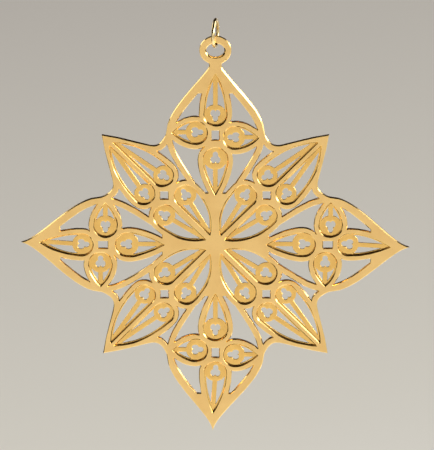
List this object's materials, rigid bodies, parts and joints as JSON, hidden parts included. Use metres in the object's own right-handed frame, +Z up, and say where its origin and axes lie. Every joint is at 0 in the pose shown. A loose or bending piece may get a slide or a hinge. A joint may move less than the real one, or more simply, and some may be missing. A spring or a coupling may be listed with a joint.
{
  "type": "star ornament",
  "caption": "Flat pierced star of gold-coloured metal, with leaf-shaped openings filled by fine tracery. It hangs and swings on a small jump ring as a decoration.",
  "frame": {"origin": "the hang point: the inside of the top of the jump ring's wire, where a cord or hook carries the ornament", "axes": "+Z up, +X to the right as seen from the front, the polished front faces -Y and the tracery sheet's back faces +Y"},
  "size_m": [0.0894, 0.0068, 0.0979],
  "materials": {
    "polished_gold": "polished, gold-plated",
    "etched_gold": "etched, gold-plated, finely grained",
    "wire_gold": "drawn wire, gold-plated"
  },
  "bodies": {
    "ring": {"jump_ring": "wire_gold"},
    "star": {"star_frame": "polished_gold", "tracery_sheet": "etched_gold"}
  },
  "joints": [
    {"name": "star_swing", "type": "hinge", "parent": "ring", "child": "star", "pos_m": [0, 0, -0.0042], "axis": [1, 0, 0], "range_deg": [-100, 100]}
  ]
}
